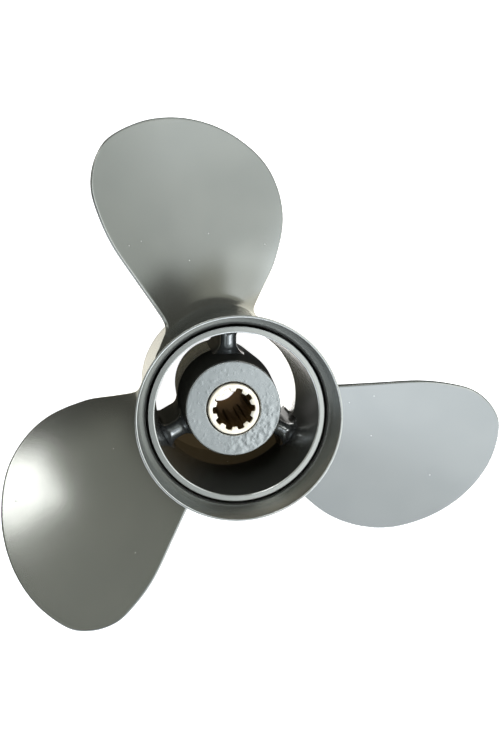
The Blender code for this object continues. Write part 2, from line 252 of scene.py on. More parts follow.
floor_mesh = bpy.data.meshes.new("floor")
floor_corners = [(x * FLOOR_HALF, y * FLOOR_HALF, 0.0) for x, y in ((-1, -1), (1, -1), (1, 1), (-1, 1))]
floor_mesh.from_pydata(floor_corners, [], [(0, 1, 2, 3)])
floor = put_on_floor("floor", floor_mesh, 0.5, (1.0, 1.0, 1.0), 1.0)
floor.visible_glossy = False
floor.visible_diffuse = False
floor.visible_shadow = False
# A dark brown sheet under the lower passage: painted shadow on the ground.
put_on_floor("shade", flat_ring("shade", 16, 36, 212, 328), 0.3, (0.055, 0.04, 0.02), 0.6)
for name, inside, outside, from_deg, to_deg, colour, glow in (
    ("glow_outside", 38.5, 62, 0, 360, (1.0, 0.95, 0.83), 0.68),
    ("glow_right", 30.5, 35.4, -24, 87, (1.0, 0.98, 0.95), 2.4),
    ("glow_left", 22.8, 27, 93, 207, (1.0, 0.88, 0.62), 0.09),
    ("glow_bore", 0, 9, 0, 360, (1.0, 0.75, 0.45), 0.3),
):
    ring = put_on_floor(name, flat_ring(name, inside, outside, from_deg, to_deg), 0.1, colour, glow)
    ring.visible_camera = False
print("the floor and its glowing rings are stage, not part of the object")

# %% [markdown]
# Grey sprayed paint on aluminium. Close up it has fine orange peel, a few specks of dust, and
# patches that are a touch rougher than others. Where the coat is thin over an edge, the metal is
# brighter, and that lighter colour on the round edges is also a painted highlight. A photograph of
# paint would fix all this to one object, so it is made from noise: the colour, the gloss and the
# bump each get their own, at the size that the real one has.
#
# The metal flakes in the paint make it half a mirror, hence the high metallic value. In the
# hollows a mask paints the colour near-black: painted shade.

# %% Paint
def noise_at(tree, size_mm, detail=2.0, seed=0.0):
    """Noise whose lumps are about size_mm across."""
    place = add_node(tree, "ShaderNodeTexCoord").outputs["Object"]
    node = add_node(tree, "ShaderNodeTexNoise", noise_dimensions="4D")
    feed(tree, node, Vector=place, W=seed, Scale=1000.0 / size_mm, Detail=detail)
    return node.outputs["Fac"]


def mix_colours(tree, share, first, second):
    node = add_node(tree, "ShaderNodeMix", data_type="RGBA")
    tree.links.new(share, node.inputs["Factor"])
    for socket, colour in ((node.inputs[6], first), (node.inputs[7], second)):
        if isinstance(colour, bpy.types.NodeSocket):
            tree.links.new(colour, socket)
        else:
            socket.default_value = (*colour, 1.0)
    return node.outputs[2]


def dust_specks(tree, spacing_mm, size, share, seed):
    """Sparse round dots: one in each cell of a Voronoi pattern, most of them left out."""
    place = add_node(tree, "ShaderNodeTexCoord").outputs["Object"]
    cells = add_node(tree, "ShaderNodeTexVoronoi", voronoi_dimensions="4D")
    feed(tree, cells, Vector=place, W=seed, Scale=1000.0 / spacing_mm, Randomness=1.0)
    dot = ramp_between(tree, cells.outputs["Distance"], size * 0.6, size, 1.0, 0.0)
    pick = feed(tree, add_node(tree, "ShaderNodeSeparateColor"), Color=cells.outputs["Color"])
    kept = calculate(tree, "LESS_THAN", pick.outputs["Red"], share)
    return calculate(tree, "MULTIPLY", dot, kept)


def bumps(tree, height, depth_mm, normal=None):
    node = add_node(tree, "ShaderNodeBump")
    feed(tree, node, Height=height, Strength=1.0, Distance=depth_mm * MM)
    if normal is not None:
        tree.links.new(normal, node.inputs["Normal"])
    return node.outputs["Normal"]


def sprayed_paint(name, colour, patch_colour, roughness, peel_mm, grain_mm, coat=0.25):
    """Paint whose coat is thin where a point's edge value is 1, and painted near-black as shade where the
    shade mask is 1.
    """
    material = bpy.data.materials.new(name)
    material.use_nodes = True
    tree = material.node_tree
    shader = tree.nodes["Principled BSDF"]
    patches = ramp_between(tree, noise_at(tree, 26.0, 3.0, 1.0), 0.35, 0.65)
    paint = mix_colours(tree, patches, colour, patch_colour)
    edge = add_node(tree, "ShaderNodeAttribute", attribute_name="edge").outputs["Fac"]
    uneven = calculate(tree, "MULTIPLY", calculate(tree, "SUBTRACT", noise_at(tree, 2.5, 2.0, 2.0), 0.5), 0.5)
    # Lighter colour on round edges: thin-coat wear, and also a painted highlight on those edges.
    wear_and_highlight = ramp_between(tree, calculate(tree, "ADD", edge, uneven), 0.35, 0.95)
    paint = mix_colours(tree, wear_and_highlight, paint, (0.80, 0.81, 0.80))
    # Painted shade: where this mask is 1 the colour goes near-black, the metallic value to 0 and the paint
    # dull, for the hollows inside the barrel and on the hub and ribs.
    bare = add_node(tree, "ShaderNodeAttribute", attribute_name="bare").outputs["Fac"]
    paint = mix_colours(tree, bare, paint, (0.03, 0.028, 0.02))
    specks = dust_specks(tree, 4.5, 0.075, 0.8, 3.0)
    paint = mix_colours(tree, specks, paint, (0.8, 0.8, 0.78))
    feed(tree, shader, Base_Color=paint, Metallic=ramp_between(tree, bare, 0.0, 1.0, 0.78, 0.0))
    gloss = ramp_between(tree, noise_at(tree, 9.0, 3.0, 4.0), 0.3, 0.7, roughness - 0.01, roughness + 0.01)
    dull = calculate(tree, "MULTIPLY", calculate(tree, "MAXIMUM", specks, bare), 0.8)
    rough = calculate(tree, "MAXIMUM", gloss, dull)
    feed(tree, shader, Roughness=rough, Coat_Weight=coat, Coat_Roughness=0.12)
    peel = bumps(tree, noise_at(tree, 1.8, 1.0, 5.0), peel_mm)
    grain = bumps(tree, noise_at(tree, 0.35, 2.0, 6.0), grain_mm, peel)
    raised = bumps(tree, specks, 0.04, grain)
    feed(tree, shader, Normal=raised)
    return material


grey_paint = sprayed_paint("grey_paint", (0.295, 0.303, 0.285), (0.28, 0.289, 0.273), 0.2, 0.006, 0.0012)
# The hub gets a rougher copy of the grey paint without a clear coat, for its cast skin; its lighter, bluer
# colour is painted light.
lit_cast_paint = sprayed_paint("lit_cast_paint", (0.32, 0.34, 0.34), (0.29, 0.31, 0.31), 0.27, 0.006, 0.003, 0.0)
# The ribs get a lighter copy of the grey paint, so that their noses shine brighter: painted light.
lit_rib_paint = sprayed_paint("lit_rib_paint", (0.42, 0.44, 0.45), (0.39, 0.41, 0.42), 0.2, 0.03, 0.0012)
print("paints:", grey_paint.name, lit_cast_paint.name, lit_rib_paint.name)

# %% [markdown]
# Brass and rubber. The brass sleeve was turned on a lathe, which leaves rings on its end faces,
# and the splines were broached and are brown with old grease. The rubber is plain, dull black.

# %% Brass and rubber
def turned_brass(name):
    material = bpy.data.materials.new(name)
    material.use_nodes = True
    tree = material.node_tree
    shader = tree.nodes["Principled BSDF"]
    stain = add_node(tree, "ShaderNodeAttribute", attribute_name="stain").outputs["Fac"]
    blotch = calculate(tree, "ADD", stain, calculate(tree, "SUBTRACT", noise_at(tree, 1.6, 4.0, 7.0), 0.5))
    brown = ramp_between(tree, blotch, 0.35, 0.75)
    patches = ramp_between(tree, noise_at(tree, 3.0, 3.0, 8.0), 0.35, 0.65)
    metal = mix_colours(tree, patches, (0.95, 0.90, 0.78), (0.90, 0.81, 0.65))
    metal = mix_colours(tree, brown, metal, (0.2, 0.125, 0.045))
    feed(tree, shader, Base_Color=metal, Metallic=0.8)
    feed(tree, shader, Roughness=ramp_between(tree, brown, 0.0, 1.0, 0.36, 0.6))
    place = add_node(tree, "ShaderNodeTexCoord").outputs["Object"]
    parts = feed(tree, add_node(tree, "ShaderNodeSeparateXYZ"), Vector=place)
    x_part = calculate(tree, "MULTIPLY", parts.outputs["X"], parts.outputs["X"])
    y_part = calculate(tree, "MULTIPLY", parts.outputs["Y"], parts.outputs["Y"])
    radius = calculate(tree, "SQRT", calculate(tree, "ADD", x_part, y_part))
    rings = calculate(tree, "SINE", calculate(tree, "MULTIPLY", radius, math.tau / (0.22 * MM)))
    marks = bumps(tree, rings, 0.002)
    feed(tree, shader, Normal=bumps(tree, noise_at(tree, 0.6, 3.0, 9.0), 0.01, marks))
    return material


def dull_rubber(name):
    material = bpy.data.materials.new(name)
    material.use_nodes = True
    tree = material.node_tree
    shader = tree.nodes["Principled BSDF"]
    bloom = ramp_between(tree, noise_at(tree, 5.0, 4.0, 10.0), 0.4, 0.7)
    feed(tree, shader, Base_Color=mix_colours(tree, bloom, (0.018, 0.018, 0.018), (0.045, 0.043, 0.04)))
    feed(tree, shader, Roughness=ramp_between(tree, bloom, 0.0, 1.0, 0.55, 0.75))
    feed(tree, shader, Normal=bumps(tree, noise_at(tree, 0.5, 2.0, 11.0), 0.01))
    return material


brass = turned_brass("brass")
black_rubber = dull_rubber("black_rubber")
print("other finishes:", brass.name, black_rubber.name)

# %% [markdown]
# Most of the propeller is turned: a profile swept round the shaft. The profile is written as its
# corners, each with its own radius, because nothing cast or painted has a knife edge, and it is
# the round edges that catch the light. Long straight runs are cut into short steps, so that smooth
# shading stays flat on flat faces.

# %% Helpers for turned pieces
def blend(a, b, share):
    return a + (b - a) * share


def soft_share(value, low, high):
    """0 up to low and 1 from high on, with a smooth rise between."""
    t = min(1.0, max(0.0, (value - low) / (high - low)))
    return t * t * (3 - 2 * t)


def rounded(corners, steps=6):
    """Closed profile through corners (r, z, radius), each rounded to its radius.

    Returns points (r, z, edge), where edge is 1 on the round and 0 elsewhere."""
    profile = []
    for i, (r, z, radius) in enumerate(corners):
        here = Vector((r, z))
        back = Vector(corners[i - 1][:2]) - here
        ahead = Vector(corners[(i + 1) % len(corners)][:2]) - here
        if radius == 0:
            profile.append((r, z, 0.0))
            continue
        half = back.angle(ahead) / 2
        middle = here + (back.normalized() + ahead.normalized()).normalized() * radius / math.sin(half)
        start = here + back.normalized() * radius / math.tan(half) - middle
        end = here + ahead.normalized() * radius / math.tan(half) - middle
        turn = math.pi - 2 * half
        for k in range(steps + 1):
            t = k / steps
            point = middle + (start * math.sin((1 - t) * turn) + end * math.sin(t * turn)) / math.sin(turn)
            profile.append((point.x, point.y, math.sin(math.pi * t)))
    return profile


def short_steps(profile, longest, first=0.12 * MM):
    """Cut long runs of a closed profile into steps, with a short one next to each corner."""
    cut = []
    for a, b in zip(profile, profile[1:] + profile[:1]):
        cut.append(a)
        length = math.hypot(b[0] - a[0], b[1] - a[1])
        if length < 4 * first:
            continue
        count = max(1, math.ceil((length - 2 * first) / longest))
        for k in range(count + 1):
            share = (first + (length - 2 * first) * k / count) / length
            cut.append((blend(a[0], b[0], share), blend(a[1], b[1], share), 0.0))
    return cut


def make_piece(name, points, faces, material, **values):
    """Link a smooth mesh piece to the scene. values are numbers stored on its points."""
    mesh = bpy.data.meshes.new(name)
    mesh.from_pydata([tuple(p) for p in points], [], faces)
    for key, numbers in values.items():
        attribute = mesh.attributes.new(key, "FLOAT", "POINT")
        attribute.data.foreach_set("value", np.asarray(numbers, np.float32))
    mesh.shade_smooth()
    mesh.materials.append(material)
    piece = bpy.data.objects.new(name, mesh)
    bpy.context.scene.collection.objects.link(piece)
    print(name, "has", sum(len(face) - 2 for face in faces), "triangles")
    return piece


def turn_profile(profile, segments):
    """Points and faces of a closed profile swept once round the shaft."""
    points = []
    for i in range(segments):
        angle = math.tau * i / segments
        for r, z, _ in profile:
            points.append((r * math.cos(angle), r * math.sin(angle), z))
    count = len(profile)
    faces = []
    for i in range(segments):
        near = i * count
        far = (i + 1) % segments * count
        for j in range(count):
            k = (j + 1) % count
            faces.append((near + j, far + j, far + k, near + k))
    return points, faces


def finish_piece(piece, slot, *nodes):
    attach(piece, "root")
    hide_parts(*nodes)


# %% [markdown]
# The barrel is the outer tube. Exhaust gas runs through it, so it is open at both ends, and its
# inside is drafted both ways from the parting plane of the mould. At the rear it ends in a flat
# face, and round that face stands a thin flare with a narrow groove between the two. In the packed
# model, barrel and flare are two nodes. Here they are one skin, as they are one casting.

# %% Barrel
BARREL_FRONT = 38.2 * MM
BARREL_WAIST = 38.9 * MM
BARREL_INSIDE_FRONT = 35.6 * MM
BARREL_THROAT = 32.0 * MM
BARREL_INSIDE_REAR = 33.5 * MM
BARREL_REAR_OUTSIDE = 36.0 * MM
BARREL_REAR_Z = 95.5 * MM
PARTING_Z = 47.0 * MM
FLARE_START_Z = 80.0 * MM
FLARE_LIP_Z = 106.0 * MM
FLARE_LIP = 41.4 * MM
FLARE_LIP_WALL = 0.9 * MM
GROOVE_OUTSIDE = 37.1 * MM
GROOVE_FLOOR_Z = 84.0 * MM


def barrel_outside(z):
    if z <= FLARE_START_Z:
        return blend(BARREL_FRONT, BARREL_WAIST, z / FLARE_START_Z)
    share = (z - FLARE_START_Z) / (FLARE_LIP_Z - FLARE_START_Z)
    return BARREL_WAIST + (FLARE_LIP - BARREL_WAIST) * share**2


def barrel_inside(z):
    if z <= PARTING_Z:
        return blend(BARREL_INSIDE_FRONT, BARREL_THROAT, z / PARTING_Z)
    return blend(BARREL_THROAT, BARREL_INSIDE_REAR, (z - PARTING_Z) / (BARREL_REAR_Z - PARTING_Z))


def barrel_corners():
    corners = [(BARREL_INSIDE_FRONT, 0.0, 0.4 * MM), (BARREL_FRONT, 0.0, 0.6 * MM)]
    for z in np.linspace(4 * MM, FLARE_LIP_Z - 2.5 * MM, 40):
        corners.append((barrel_outside(z), z, 0.0))
    corners += [
        (FLARE_LIP, FLARE_LIP_Z, 0.25 * MM),
        (FLARE_LIP - FLARE_LIP_WALL, FLARE_LIP_Z, 0.3 * MM),
        (GROOVE_OUTSIDE, BARREL_REAR_Z, 1.0 * MM),
        (GROOVE_OUTSIDE, GROOVE_FLOOR_Z, 0.45 * MM),
        (BARREL_REAR_OUTSIDE, GROOVE_FLOOR_Z, 0.45 * MM),
        (BARREL_REAR_OUTSIDE, BARREL_REAR_Z, 0.35 * MM),
        (BARREL_INSIDE_REAR, BARREL_REAR_Z, 0.5 * MM),
    ]
    for z in np.linspace(BARREL_REAR_Z - 3 * MM, PARTING_Z + 0.3 * MM, 16):
        corners.append((barrel_inside(z), z, 0.0))
    for z in np.linspace(PARTING_Z - 0.3 * MM, 3 * MM, 16):
        corners.append((barrel_inside(z), z, 0.0))
    return corners


barrel_profile = short_steps(rounded(barrel_corners()), 2.5 * MM)
points, faces = turn_profile(barrel_profile, 192)
# Painted shade in the groove between the flare and the rear face: the mask makes it near-black.
bare = []
for r, z, _ in barrel_profile:
    in_groove = abs(r - (BARREL_REAR_OUTSIDE + GROOVE_OUTSIDE) / 2) < 0.7 * MM and z > GROOVE_FLOOR_Z - MM
    bare.append(1 - soft_share(z, BARREL_REAR_Z - 1.6 * MM, BARREL_REAR_Z - 0.6 * MM) if in_groove else 0.0)
edge = [p[2] for p in barrel_profile]
barrel = make_piece("cast_barrel", points, faces, grey_paint, edge=edge * 192, bare=bare * 192)
finish_piece(barrel, "grey_paint", "barrel", "flare_ring")

# %% [markdown]
# The hub is the inner tube. Its rear face was never machined, so it shows the skin of the casting:
# small lumps and pits, stronger on the lower right. That is a shape and not only a shading, so the
# face gets a fine mesh, and its points are moved by noise. Bump could not change the outline of
# the lumps where they run over the round edge.

# %% Hub
HUB_FRONT = 21.5 * MM
HUB_PARTING = 22.3 * MM
HUB_REAR = 20.1 * MM
HUB_REAR_Z = 80.7 * MM
HUB_REAR_WALL = 6.0 * MM
HUB_HOLE = 11.5 * MM
HUB_BORE = 16.8 * MM
HUB_SEGMENTS = 420
ROUGH_SIDE = Vector((0.78, -0.62))


def hub_outside(z):
    if z <= PARTING_Z:
        return blend(HUB_FRONT, HUB_PARTING, z / PARTING_Z)
    return blend(HUB_PARTING, HUB_REAR, (z - PARTING_Z) / (HUB_REAR_Z - PARTING_Z))


def hub_profile():
    shoulder = HUB_REAR_Z - HUB_REAR_WALL
    corners = [
        (HUB_BORE, 0.0, 0.6 * MM),
        (HUB_FRONT, 0.0, 0.6 * MM),
        (HUB_PARTING, PARTING_Z - 0.3 * MM, 0.0),
        (HUB_PARTING, PARTING_Z + 0.3 * MM, 0.0),
        (HUB_REAR, HUB_REAR_Z, 0.55 * MM),
        (HUB_HOLE, HUB_REAR_Z, 0.4 * MM),
        (HUB_HOLE, shoulder, 0.3 * MM),
        (HUB_BORE, shoulder, 1.0 * MM),
    ]
    coarse = short_steps(rounded(corners), 2.5 * MM)
    fine = []
    for a, b in zip(coarse, coarse[1:] + coarse[:1]):
        fine.append(a)
        on_rear_face = min(a[1], b[1]) > HUB_REAR_Z - 1.5 * MM
        steps = math.ceil(math.hypot(b[0] - a[0], b[1] - a[1]) / (0.22 * MM)) if on_rear_face else 1
        for k in range(1, steps):
            fine.append((blend(a[0], b[0], k / steps), blend(a[1], b[1], k / steps), 0.0))
    return fine


def cast_relief(point):
    """Height of the casting's skin above the ideal surface at a point, in metres."""
    around = Vector(point[:2]).normalized().dot(ROUGH_SIDE)
    rough = 0.1 + 0.9 * soft_share(around, 0.3, 1.0)
    place = Vector(point) / MM
    lumps = noise.noise(place * 0.42) + 0.45 * noise.noise(place * 0.85 + Vector((5, 0, 0)))
    grains = soft_share(noise.noise(place * 0.8 + Vector((0, 9, 0))), 0.3, 0.55)
    return (0.12 * rough * lumps + 0.05 * (0.4 + 0.6 * rough) * grains) * MM


def bare_share(x, z):
    """1 where shade is painted: the hub's side aft of the parting plane, and right of it."""
    aft_of_parting = soft_share(z, PARTING_Z - 0.3 * MM, PARTING_Z + 0.3 * MM)
    right = soft_share(x, -8 * MM, 2 * MM)
    return max(aft_of_parting, right) * (1 - soft_share(z, HUB_REAR_Z - 1.6 * MM, HUB_REAR_Z - 0.5 * MM))


profile = hub_profile()
points, faces = turn_profile(profile, HUB_SEGMENTS)
moved = []
for x, y, z in points:
    fade = soft_share(z, HUB_REAR_Z - 12 * MM, HUB_REAR_Z - 1 * MM)
    height = cast_relief((x, y, z)) * (0.3 + 0.7 * fade)
    radius = math.hypot(x, y)
    outward = soft_share(radius, 19.0 * MM, 19.7 * MM)
    lift = height * (1 - outward) if z > HUB_REAR_Z - 0.8 * MM else 0.0
    push = height * outward if radius > 18.5 * MM else 0.0
    moved.append((x * (1 + push / radius), y * (1 + push / radius), z + lift))
edge = [p[2] * 0.8 for p in profile] * HUB_SEGMENTS
# Painted shade on the hub's side, deep in the barrel: the mask is 1 there.
bare = [bare_share(x, z) for x, _, z in points]
hub = make_piece("cast_hub", moved, faces, lit_cast_paint, edge=edge, bare=bare)
finish_piece(hub, "grey_paint", "inner_hub")

# %% [markdown]
# Three ribs carry the hub. Each is a straight web with a round nose at the rear, and it runs into
# the hub and the barrel in fillets, because molten metal needs round corners to flow. A rib is
# made of rings round its cross-section, from the hub outward. Near both ends the rings grow by the
# quarter circle of the fillet, so the fillet runs round the nose as well.

# %% Ribs
RIB_DEGREES = (90.0, 210.0, 330.0)
RIB_HALF = 3.6 * MM
RIB_FRONT_HALF = 2.4 * MM
RIB_FRONT_Z = 1.5 * MM
RIB_REAR_Z = 59.5 * MM
RIB_FILLET = 4.0 * MM
FILLET_ROWS = 9


def rib_half(z):
    return blend(RIB_FRONT_HALF, RIB_HALF, min(1.0, z / PARTING_Z))


def rib_section():
    """Points (across, z) round a rib's cross-section, with their outward directions."""
    section = []
    nose_z = RIB_REAR_Z - RIB_HALF
    for z in np.linspace(RIB_FRONT_Z + 1.2 * MM, nose_z - 1 * MM, 20):
        section.append((rib_half(z), z, 1.0, 0.0))
    for k in range(17):
        turn = math.pi * k / 16
        section.append(
            (RIB_HALF * math.cos(turn), nose_z + RIB_HALF * math.sin(turn), math.cos(turn), math.sin(turn))
        )
    for z in np.linspace(nose_z - 1 * MM, RIB_FRONT_Z + 1.2 * MM, 20):
        section.append((-rib_half(z), z, -1.0, 0.0))
    for across in np.linspace(-0.8, 0.8, 5):
        section.append((across * RIB_FRONT_HALF, RIB_FRONT_Z, 0.0, 0.0))
    return section


def rib_levels():
    """Each level: share of the way out between the fillets, height over hub, height under barrel."""
    levels = []
    for k in range(FILLET_ROWS + 1):
        levels.append(("hub", RIB_FILLET * (1 - math.cos(math.pi / 2 * k / FILLET_ROWS))))
    for share in (0.25, 0.5, 0.75):
        levels.append(("web", share))
    for k in range(FILLET_ROWS, -1, -1):
        levels.append(("barrel", RIB_FILLET * (1 - math.cos(math.pi / 2 * k / FILLET_ROWS))))
    return levels


def rib_ring(kind, amount, centre):
    ring = []
    for across, z, out_across, out_z in rib_section():
        grow = 0.0
        if kind != "web":
            turn = math.acos(1 - amount / RIB_FILLET)
            grow = RIB_FILLET * (1 - math.sin(turn))
        across += out_across * grow
        z += out_z * grow
        low = hub_outside(z) + RIB_FILLET
        high = barrel_inside(z) - RIB_FILLET
        if kind == "hub":
            radius = low - RIB_FILLET + amount - 0.03 * MM
        elif kind == "barrel":
            radius = high + RIB_FILLET - amount + 0.03 * MM
        else:
            radius = blend(low, high, amount)
        angle = centre + math.asin(across / radius)
        ring.append((radius * math.cos(angle), radius * math.sin(angle), z))
    return ring


def skin_rings(rings):
    """Points and quads between closed rings, with the first point of the last ring and the ring size; the
    caller closes the ends.
    """
    count = len(rings[0])
    faces = []
    for i in range(len(rings) - 1):
        for j in range(count):
            k = (j + 1) % count
            faces.append((i * count + j, i * count + k, (i + 1) * count + k, (i + 1) * count + j))
    last = (len(rings) - 1) * count
    return [p for ring in rings for p in ring], faces, last, count


for number, degrees in enumerate(RIB_DEGREES, start=1):
    centre = math.radians(degrees)
    rings = [rib_ring(kind, amount, centre) for kind, amount in rib_levels()]
    points, faces, last, count = skin_rings(rings)
    faces.append(tuple(reversed(range(count))))
    faces.append(tuple(range(last, last + count)))
    nose_z = RIB_REAR_Z - RIB_HALF
    # Painted shade on each rib: everything but the nose is made near-black.
    bare = [1 - soft_share(z, nose_z - 1.5 * MM, nose_z) for _, _, z in points]
    rib = make_piece(f"cast_rib_{number}", points, faces, lit_rib_paint, bare=bare)
    finish_piece(rib, "grey_paint", f"rib_{number}")

# %% [markdown]
# A blade is a screw surface: as it turns round the shaft by an angle, it climbs by that share of
# the pitch. Its outline is a smooth curve through a few stations, and its rear face lies on the
# screw surface. The metal is thick at the root and in the middle, and thin at the edge, which is
# fully round all the way along, also over the tip.
#
# The mesh is a row of rings, each one the cut of the blade with a cylinder round the shaft. Steps
# get shorter towards the edges and the tip, where the surface turns fast. At the root the rings
# grow like the fillet does, and land flush on the barrel. A grid with a Solidify modifier would be
# shorter to write, but its edge would be square and its root would have no fillet.

# %% Blade outline
TIP_RADIUS = 125.4 * MM
TIP_DEG = 9.6
PITCH = 330.0 * MM
RAKE = 0.166
BLADE_CENTRE_Z = 42.5 * MM
BLADE_CENTRE_RADIUS = 80.0 * MM
BLADE_STATIONS = (
    # radius in mm, then leading and trailing edge from the centre line in degrees
    (39.2, -34.0, 46.0),
    (40.5, -32.5, 38.8),
    (42.2, -31.7, 33.6),
    (45.5, -31.3, 31.5),
    (52.0, -31.1, 30.9),
    (66.0, -30.6, 30.4),
    (84.0, -27.3, 29.8),
    (98.0, -22.0, 28.1),
    (109.0, -15.4, 25.9),
    (118.0, -6.8, 22.1),
    (123.5, 1.6, 17.4),
)


def outline_points(steps=40):
    """The outline across the shaft as (radius, angle), from leading root over the tip."""
    knots = [(r * MM, math.radians(lead)) for r, lead, _ in BLADE_STATIONS]
    knots.append((TIP_RADIUS, math.radians(TIP_DEG)))
    knots += [(r * MM, math.radians(trail)) for r, _, trail in reversed(BLADE_STATIONS)]
    flat = np.array([(r * math.sin(a), r * math.cos(a)) for r, a in knots])
    flat = np.vstack((flat[:1], flat, flat[-1:]))
    curve = []
    for i in range(1, len(flat) - 2):
        before, a, b, after = flat[i - 1 : i + 3]
        for t in np.arange(steps) / steps:
            curve.append(
                0.5
                * (
                    2 * a
                    + (b - before) * t
                    + (2 * before - 5 * a + 4 * b - after) * t**2
                    + (3 * a - before - 3 * b + after) * t**3
                )
            )
    curve.append(flat[-1])
    curve = np.array(curve)
    return np.hypot(curve[:, 0], curve[:, 1]), np.arctan2(curve[:, 0], curve[:, 1])


outline_radius, outline_angle = outline_points()
peak = int(np.argmax(outline_radius))
TIP_TOP = float(outline_radius[peak])


def edge_angles(radius):
    """Angles of the leading and trailing edge at a radius."""
    lead = np.interp(radius, outline_radius[: peak + 1], outline_angle[: peak + 1])
    trail = np.interp(radius, outline_radius[peak:][::-1], outline_angle[peak:][::-1])
    return float(lead), float(trail)


def screw_height(radius, angle):
    return BLADE_CENTRE_Z + PITCH / math.tau * angle + RAKE * (radius - BLADE_CENTRE_RADIUS)


rim = np.stack(
    (
        outline_radius * np.cos(outline_angle),
        outline_radius * np.sin(outline_angle),
        screw_height(outline_radius, outline_angle),
    ),
    axis=1,
)
print("outline reaches", round(TIP_TOP / MM, 2), "mm from the shaft")

# %% Blade skin
ROOT_THICKNESS = 10.0 * MM
TIP_THICKNESS = 3.2 * MM
EDGE_THICKNESS = 1.5 * MM
EDGE_ROUND = 0.85 * MM
ROOT_FILLET = 7.0 * MM
ROOT_FILLET_AT_EDGE = 2.4 * MM
LOWEST_Z = 1.2 * MM
CHORD_STEPS = 84
SPAN_STEPS = 80
BARREL_MEAN = 38.6 * MM


def smooth_rise(value, floor, softness=1.5 * MM):
    """Bend heights smoothly so that none falls below the floor."""
    return floor + softness * np.log1p(np.exp((value - floor) / softness))


def blade_ring(rise):
    """Radius, angle and height of the points of one closed ring round the blade."""
    radius = BARREL_MEAN + rise
    lead, trail = edge_angles(radius)
    share = 0.5 - 0.5 * np.cos(np.pi * np.arange(CHORD_STEPS + 1) / CHORD_STEPS)
    angle = lead + (trail - lead) * share
    helix = math.atan2(PITCH, math.tau * radius)
    height = screw_height(radius, angle)
    here = np.stack((radius * np.cos(angle), radius * np.sin(angle), height), axis=1)
    gap = np.sqrt(((here[:, None, :] - rim[None, :, :]) ** 2).sum(axis=2)).min(axis=1)
    along = min(1.0, max(0.0, (radius - BLADE_STATIONS[0][0] * MM) / (TIP_RADIUS - BLADE_STATIONS[0][0] * MM)))
    middle = blend(ROOT_THICKNESS, TIP_THICKNESS, along**0.85)
    body = (4 * share * (1 - share)) ** 0.8 * np.clip((TIP_TOP - radius) / (14 * MM), 0, 1) ** 0.6
    half = blend(EDGE_THICKNESS, middle, body) / 2
    chord = share * radius * (trail - lead) / math.cos(helix)
    close = np.minimum(np.minimum(chord, chord[-1] - chord), gap) / EDGE_ROUND
    swell = np.sqrt(1 - (1 - np.clip(close, 0, 1)) ** 2)
    swell[0] = swell[-1] = 0.0
    aft = -half + half * swell
    front = -half - half * swell
    along_ring = np.concatenate((chord, chord[-2:0:-1]))
    across_ring = np.concatenate((aft, front[-2:0:-1]))
    body_ring = np.concatenate((body, body[-2:0:-1]))
    ahead_a = np.roll(along_ring, -1) - np.roll(along_ring, 1)
    ahead_n = np.roll(across_ring, -1) - np.roll(across_ring, 1)
    length = np.hypot(ahead_a, ahead_n) + 1e-12
    fillet = blend(ROOT_FILLET_AT_EDGE, ROOT_FILLET, body_ring**0.7)
    turn = np.arccos(np.clip(1 - max(rise, 0.0) / fillet, 0, 1))
    grow = fillet * (1 - np.sin(turn))
    along_ring = along_ring - ahead_n / length * grow
    across_ring = across_ring + ahead_a / length * grow
    angle = lead + (along_ring * math.cos(helix) - across_ring * math.sin(helix)) / radius
    height = screw_height(radius, lead) + along_ring * math.sin(helix) + across_ring * math.cos(helix)
    height = smooth_rise(height, LOWEST_Z)
    waist = np.array([barrel_outside(z) for z in height]) - BARREL_MEAN
    radii = radius + waist * max(0.0, 1 - max(rise, 0.0) / (12 * MM))
    return radii, angle, height


def blade_rises():
    """Heights of the rings above the barrel: sunk root, fillet, then closer towards the tip."""
    rises = [-0.8 * MM, -0.03 * MM]
    rises += [ROOT_FILLET * (1 - math.cos(math.pi / 2 * k / 12)) for k in range(1, 13)]
    start = rises[-1]
    end = TIP_TOP - BARREL_MEAN
    for k in range(1, SPAN_STEPS):
        rises.append(blend(start, end, math.sin(math.pi / 2 * k / SPAN_STEPS)))
    return rises


def make_blade(name, centre_deg, node):
    centre = math.radians(centre_deg)
    points = []
    rises = blade_rises()
    for rise in rises:
        for r, a, z in zip(*blade_ring(rise)):
            ripple = 0.05 * MM * noise.noise(Vector((r * 45, a * 4, z * 45 + centre_deg)))
            points.append((r * math.cos(centre + a), r * math.sin(centre + a), z + ripple))
    count = 2 * CHORD_STEPS
    faces = []
    for i in range(len(rises) - 1):
        for j in range(count):
            k = (j + 1) % count
            faces.append((i * count + k, i * count + j, (i + 1) * count + j, (i + 1) * count + k))
    tip_angle = centre + outline_angle[peak]
    tip_z = screw_height(TIP_TOP, outline_angle[peak]) - EDGE_THICKNESS / 2
    points.append((TIP_TOP * math.cos(tip_angle), TIP_TOP * math.sin(tip_angle), tip_z))
    last = (len(rises) - 1) * count
    for j in range(count):
        faces.append((last + (j + 1) % count, last + j, len(points) - 1))
    for j in range(1, CHORD_STEPS - 1):
        faces.append((j, j + 1, count - j - 1, count - j))
    faces.append((0, 1, count - 1))
    faces.append((CHORD_STEPS - 1, CHORD_STEPS, CHORD_STEPS + 1))
    blade = make_piece(name, points, faces, grey_paint, edge=[0.0] * len(points))
    finish_piece(blade, "grey_paint", node)
    return blade


for number in range(3):
    make_blade(f"cast_blade_{number + 1}", 96.5 - 120.0 * number, f"blade_{number + 1}")

# %% [markdown]
# The rubber bush lets the sleeve slip when the propeller hits something, and saves the gears. It is
# moulded between hub and sleeve, so its front face hangs a little between the two.

# %% Rubber bush
SLEEVE_OUTSIDE = 10.95 * MM
SLEEVE_FRONT_Z = 4.5 * MM
SLEEVE_REAR_Z = 81.8 * MM
BUSH_FRONT_Z = 6.0 * MM
HAIRLINE = 0.3 * MM

